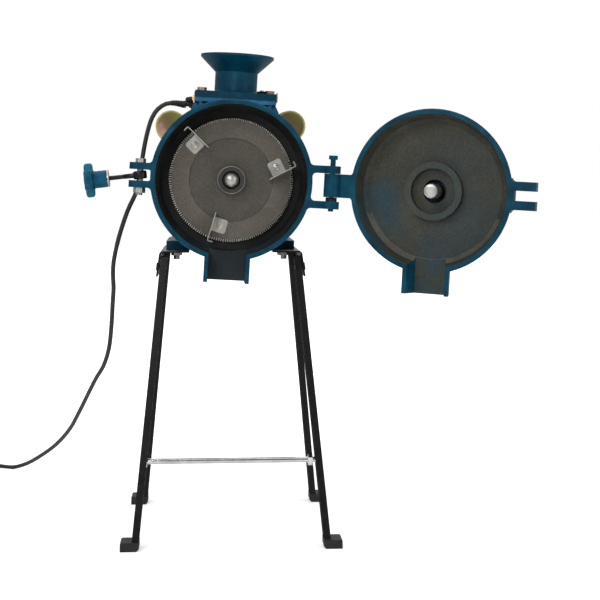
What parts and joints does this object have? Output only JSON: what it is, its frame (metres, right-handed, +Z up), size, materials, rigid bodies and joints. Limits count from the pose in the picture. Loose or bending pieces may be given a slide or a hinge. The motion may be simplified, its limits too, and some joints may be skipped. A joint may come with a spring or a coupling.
{
  "type": "electric grain mill",
  "caption": "Electric disc mill on a splayed four-leg stand, with a small hopper, swing-open front cover, clamp knob, motor behind the drum and a black power cord.",
  "frame": {"origin": "on the floor under the grinding shaft, midway between the front and rear feet", "axes": "+X to the right seen from the open side of the drum, +Y from the drum to the motor, +Z up"},
  "size_m": [0.8019, 0.6237, 0.6158],
  "materials": {
    "teal_paint": "semi-gloss hammered paint",
    "grinding_steel": "dark cast",
    "steel": "machined",
    "zinc": "zinc plated",
    "yellow_zinc": "yellow passivated zinc",
    "chrome_rod": "chrome plated",
    "black_paint": "satin",
    "black_steel": "blackened",
    "black_plastic": "matt",
    "pale_plastic": "matt",
    "rubber": "matt",
    "gasket": "matt",
    "brass": "turned",
    "copper": "lacquered wire",
    "core_steel": "laminated",
    "cord_black": "matt"
  },
  "bodies": {
    "mill": {"mill_body": "teal_paint", "fixed_plate": "grinding_steel", "fixed_plate_screws": "zinc", "shaft_seal": "rubber", "hopper": "teal_paint", "hopper_gasket": "gasket", "hopper_bolts": "black_steel", "hinge_pin": "teal_paint", "pivot_bolt": "zinc", "motor_frame": "teal_paint", "front_shield": "teal_paint", "rear_shield": "teal_paint", "front_bearing": "steel", "rear_bearing": "steel", "stator_core": "core_steel", "stator_windings": "copper", "fan_cover": "black_paint", "fan_cover_screws": "zinc", "capacitor_left": "yellow_zinc", "capacitor_right": "yellow_zinc", "capacitor_clamps": "zinc", "switch_box": "black_paint", "switch_box_lid": "black_paint", "lid_screws": "zinc", "terminal_block": "pale_plastic", "toggle_body": "brass", "cable_gland": "black_plastic", "bracket_left": "black_paint", "bracket_right": "black_paint", "leg_front_left": "black_paint", "leg_front_right": "black_paint", "leg_rear_left": "black_paint", "leg_rear_right": "black_paint", "foot_caps": "rubber", "leg_bolts": "black_steel", "foot_bolts": "zinc", "tie_rod": "chrome_rod", "cord": "cord_black", "cord_coil": "cord_black", "coil_tie": "cord_black", "plug_body": "rubber", "plug_pins": "brass"},
    "rotor": {"grinding_disc": "grinding_steel", "scrapers": "zinc", "scraper_screws": "yellow_zinc", "thrust_ball": "steel", "feed_auger": "grinding_steel", "rotor_core": "core_steel", "motor_shaft": "steel", "cooling_fan": "black_plastic"},
    "cover": {"cover": "teal_paint", "lock_nut": "zinc"},
    "thrust_pin": {"thrust_pin": "steel"},
    "adjusting_screw": {"adjusting_screw": "black_steel", "adjusting_knob": "teal_paint"},
    "swing_bolt": {"swing_bolt": "black_steel"},
    "clamp_washer": {"clamp_washer": "zinc"},
    "clamp_knob": {"clamp_knob": "teal_paint"},
    "feed_gate": {"feed_gate": "zinc"},
    "toggle_lever": {"toggle_lever": "rubber"}
  },
  "joints": [
    {"name": "rotor_spin", "type": "hinge", "parent": "mill", "child": "rotor", "pos_m": [0, 0, 0.453], "axis": [0, 1, 0], "continuous": true},
    {"name": "cover_hinge", "type": "hinge", "parent": "mill", "child": "cover", "pos_m": [0.12381, -0.13, 0.44608], "axis": [0.0558, 0, 0.9984], "range_deg": [-158, 15]},
    {"name": "thrust_travel", "type": "slide", "parent": "cover", "child": "thrust_pin", "axis": [-0.374, -0.9272, 0.0209], "range_m": [0, 0.022]},
    {"name": "adjusting_turn", "type": "hinge", "parent": "thrust_pin", "child": "adjusting_screw", "pos_m": [0.26104, -0.12082, 0.43841], "axis": [-0.374, -0.9272, 0.0209], "range_deg": [0, 3960]},
    {"name": "swing_turn", "type": "hinge", "parent": "mill", "child": "swing_bolt", "pos_m": [-0.11252, -0.121, 0.45929], "axis": [-0.1097, 0, 0.994], "range_deg": [-20, 90]},
    {"name": "washer_travel", "type": "slide", "parent": "swing_bolt", "child": "clamp_washer", "axis": [0.994, 0, 0.1097], "range_m": [0, 0.015]},
    {"name": "clamp_turn", "type": "hinge", "parent": "clamp_washer", "child": "clamp_knob", "pos_m": [-0.11252, -0.121, 0.45929], "axis": [0.994, 0, 0.1097], "range_deg": [0, 5400]},
    {"name": "gate_slide", "type": "slide", "parent": "mill", "child": "feed_gate", "axis": [0.9984, 0, -0.0558], "range_m": [0, 0.04]},
    {"name": "toggle_tip", "type": "hinge", "parent": "mill", "child": "toggle_lever", "pos_m": [-0.05, 0.014, 0.5595], "axis": [0, 0, 1], "range_deg": [-24, 0]}
  ],
  "couplings": [
    {"joint": "adjusting_turn", "follows": "thrust_travel", "rad_per_m": 3141.6},
    {"joint": "clamp_turn", "follows": "washer_travel", "rad_per_m": 6283.2}
  ]
}
